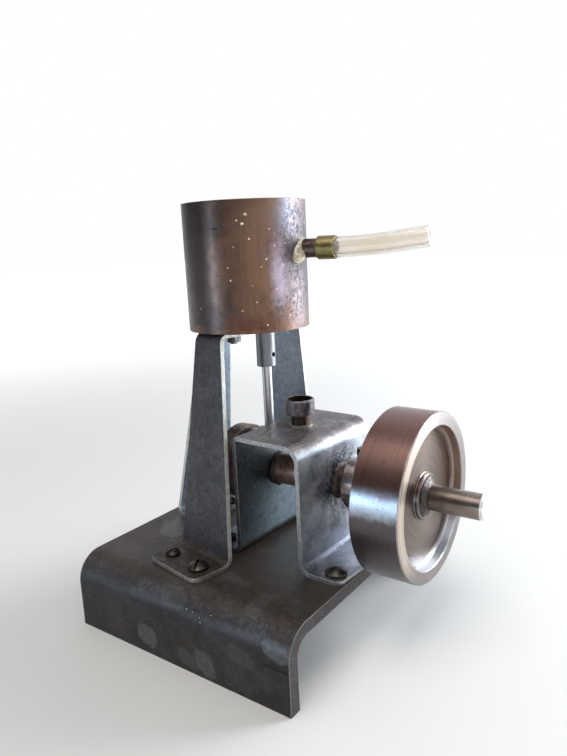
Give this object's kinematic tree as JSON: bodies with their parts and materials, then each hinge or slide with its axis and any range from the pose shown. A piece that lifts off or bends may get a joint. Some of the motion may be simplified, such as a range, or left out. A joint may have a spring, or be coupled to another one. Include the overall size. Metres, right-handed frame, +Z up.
{
  "type": "model stationary steam engine",
  "caption": "Home-made upright model steam engine: a cylinder on three bent legs over a bracket-held crankshaft with flywheel, on a steel channel base.",
  "frame": {"origin": "on the floor, under the middle of the box that holds the whole engine", "axes": "+X along the crankshaft towards its free end, +Z up, +Y away from the side that the picture shows in front"},
  "size_m": [0.1466, 0.127, 0.1687],
  "materials": {
    "mill_steel": "mottled mill scale, brown and grey",
    "leg_steel": "dark grey-blue scale with bright cut edges",
    "bracket_steel": "heat-coloured sheet, scratched",
    "bright_steel": "turned and polished",
    "brown_steel": "heat-browned steel",
    "flywheel_steel": "turned, browned on the rim",
    "screw_steel": "dull plated",
    "copper": "oxidised copper, brown with orange and violet heat colours",
    "solder": "dull grainy solder",
    "braze": "silver braze with a yellow tinge",
    "brass": "olive tarnished brass",
    "vinyl": "clear milky hose"
  },
  "bodies": {
    "root": {"base_channel": "mill_steel", "bearing_bracket": "bracket_steel", "bracket_screws_left": "screw_steel", "bracket_screws_right": "screw_steel", "bearing_tube": "brown_steel", "bearing_braze": "solder", "oil_cup": "brown_steel", "oil_cup_ring": "solder", "front_leg": "leg_steel", "left_leg": "leg_steel", "rear_leg": "leg_steel", "front_leg_screws": "screw_steel", "left_leg_screws": "screw_steel", "rear_leg_screws": "screw_steel", "flange_screws": "screw_steel", "flange_nuts": "screw_steel", "cylinder_shell": "copper", "cylinder_top": "copper", "cylinder_bottom": "copper", "inlet_nipple": "brown_steel", "nipple_solder": "solder", "hose_ferrule": "brass", "hose": "vinyl"},
    "rotor": {"crankshaft": "bright_steel", "crank_web": "brown_steel", "crank_pin": "bright_steel", "pin_bead": "solder", "crank_disc": "brown_steel", "stop_collar": "brown_steel", "collar_set_screw": "screw_steel", "flywheel": "flywheel_steel", "hub_braze": "braze"},
    "con_rod": {"connecting_rod": "bright_steel"},
    "piston": {"piston_rod": "bright_steel"}
  },
  "joints": [
    {"name": "crank_spin", "type": "hinge", "parent": "root", "child": "rotor", "pos_m": [0, 0, 0.0587], "axis": [1, 0, 0], "continuous": true},
    {"name": "rod_swing", "type": "hinge", "parent": "rotor", "child": "con_rod", "pos_m": [-0.02115, 0.0022, 0.07151], "axis": [1, 0, 0], "continuous": true},
    {"name": "piston_slide", "type": "slide", "parent": "root", "child": "piston", "axis": [0, 0, 1], "range_m": [-0.0255, 0]}
  ],
  "couplings": [
    {"joint": "rod_swing", "follows": "crank_spin", "ratio": -1}
  ]
}
